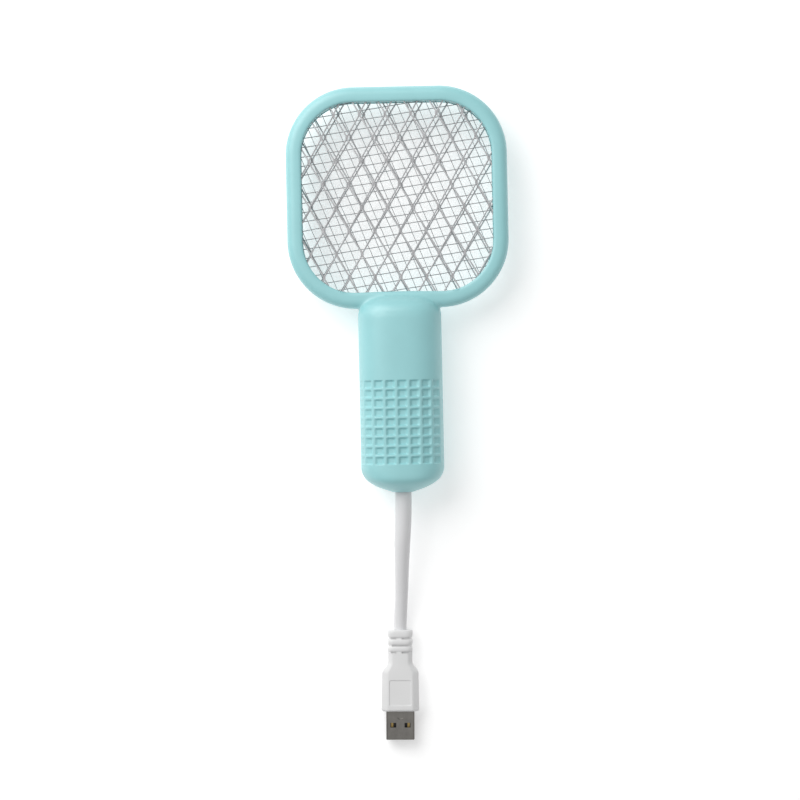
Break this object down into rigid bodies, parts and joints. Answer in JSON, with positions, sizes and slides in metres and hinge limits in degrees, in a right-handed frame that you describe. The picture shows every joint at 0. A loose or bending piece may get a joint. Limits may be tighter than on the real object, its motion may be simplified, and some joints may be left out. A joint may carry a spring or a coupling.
{
  "type": "electric fly swatter",
  "caption": "Small electric fly swatter: a rounded square head with guard nets over a live centre net, a pocketed grip handle, and a short cord to a charging plug.",
  "frame": {"origin": "under the middle of the swatter without its cord, on the surface that its back lies on", "axes": "+Y from the handle to the head, +Z out of the front of the nets, +X to the right seen from the front"},
  "size_m": [0.093, 0.2757, 0.026],
  "materials": {
    "mint_plastic": "satin",
    "white_plastic": "satin",
    "white_rubber": "matte",
    "net_aluminium": "satin",
    "net_steel": "satin",
    "screw_steel": "satin",
    "plug_steel": "satin",
    "gold_contacts": "polished",
    "black_plastic": "matte",
    "red_plastic": "satin",
    "cream_plastic": "matte",
    "board_laminate": "satin",
    "led_resin": "gloss",
    "ferrite": "matte",
    "copper": "satin",
    "brown_epoxy": "gloss",
    "blue_epoxy": "gloss",
    "tan_ceramic": "satin",
    "battery_foil": "satin",
    "foam": "matte",
    "lead_insulation": "satin",
    "lead_insulation_dark": "satin"
  },
  "bodies": {
    "swatter": {"front_shell": "mint_plastic", "back_shell": "mint_plastic", "case_screws": "screw_steel", "front_guard_net": "net_aluminium", "rear_guard_net": "net_aluminium", "centre_net": "net_steel", "front_spacer": "mint_plastic", "rear_spacer": "mint_plastic", "switch_housing": "black_plastic", "switch_spring": "screw_steel", "circuit_board": "board_laminate", "board_screws": "screw_steel", "indicator_led": "led_resin", "transformer_core": "ferrite", "transformer_bobbin": "cream_plastic", "transformer_winding": "copper", "storage_capacitor": "brown_epoxy", "multiplier_capacitors": "blue_epoxy", "multiplier_diodes": "black_plastic", "bleed_resistor": "tan_ceramic", "switching_transistor": "black_plastic", "charge_controller": "black_plastic", "battery_cell": "battery_foil", "battery_pad": "foam", "battery_leads": "lead_insulation", "charge_leads": "lead_insulation", "centre_net_lead": "lead_insulation", "guard_net_leads": "lead_insulation_dark", "strain_relief": "white_rubber", "cord": "white_rubber", "plug_body": "white_rubber", "usb_shell": "plug_steel", "usb_tongue": "black_plastic", "usb_contacts": "gold_contacts"},
    "button": {"push_button": "white_plastic"},
    "plunger": {"switch_plunger": "red_plastic"}
  },
  "joints": [
    {"name": "button_press", "type": "slide", "parent": "swatter", "child": "button", "axis": [0, 0, 1], "range_m": [0, 0.001], "stiffness_N_per_m": 600, "springref_m": -0.001},
    {"name": "plunger_slide", "type": "slide", "parent": "swatter", "child": "plunger", "axis": [0, 0, 1], "range_m": [0, 0.001], "deforming": ["switch_spring"]}
  ],
  "couplings": [
    {"joint": "plunger_slide", "follows": "button_press", "ratio": 1}
  ]
}
